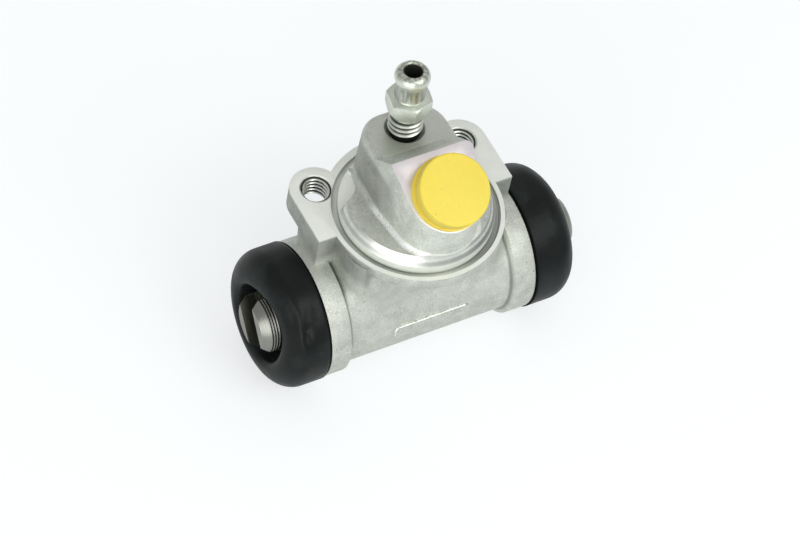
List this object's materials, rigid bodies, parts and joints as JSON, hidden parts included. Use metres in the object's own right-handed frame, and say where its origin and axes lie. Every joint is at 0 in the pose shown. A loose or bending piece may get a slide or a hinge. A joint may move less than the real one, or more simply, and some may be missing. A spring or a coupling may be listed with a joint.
{
  "type": "drum brake wheel cylinder",
  "caption": "Double-ended drum brake wheel cylinder: cast body with round pilot and tapped ears, slotted pistons in rubber dust boots, hollow hex bleed screw and a plugged pipe port.",
  "frame": {"origin": "centre of the round pilot, on the machined mounting face", "axes": "+Z out of the mounting face, through the backing plate; +X along the cylinder bore towards the right piston; +Y towards the bleed screw and the bolt holes"},
  "size_m": [0.0702, 0.0358, 0.0671],
  "materials": {
    "cast_aluminium": "satin cast skin with bright turned faces",
    "piston_steel": "turned",
    "seal_rubber": "moulded",
    "sheet_steel": "pressed sheet",
    "spring_steel": "drawn wire",
    "boot_rubber": "moulded, satin",
    "plated_steel": "zinc plated",
    "plug_plastic": "moulded"
  },
  "bodies": {
    "cylinder": {"cylinder_body": "cast_aluminium", "return_spring": "spring_steel", "left_dust_boot": "boot_rubber", "right_dust_boot": "boot_rubber"},
    "left_piston_group": {"left_piston": "piston_steel", "left_cup_seal": "seal_rubber", "left_cup_expander": "sheet_steel"},
    "right_piston_group": {"right_piston": "piston_steel", "right_cup_seal": "seal_rubber", "right_cup_expander": "sheet_steel"},
    "bleed_screw_group": {"bleed_screw": "plated_steel"},
    "port_plug_group": {"port_plug": "plug_plastic"}
  },
  "joints": [
    {"name": "left_piston_slide", "type": "slide", "parent": "cylinder", "child": "left_piston_group", "axis": [-1, 0, 0], "range_m": [-0.001, 0.006], "deforming": ["left_dust_boot", "return_spring"]},
    {"name": "right_piston_slide", "type": "slide", "parent": "cylinder", "child": "right_piston_group", "axis": [1, 0, 0], "range_m": [-0.004, 0.003], "deforming": ["right_dust_boot", "return_spring"]},
    {"name": "bleed_screw_turn", "type": "hinge", "parent": "cylinder", "child": "bleed_screw_group", "pos_m": [0, 0.009, 0.0145], "axis": [0, 0.0663, 0.9978], "range_deg": [0, 360]},
    {"name": "port_plug_pull", "type": "slide", "parent": "cylinder", "child": "port_plug_group", "axis": [0, -0.4695, 0.8829], "range_m": [0, 0.012]}
  ]
}
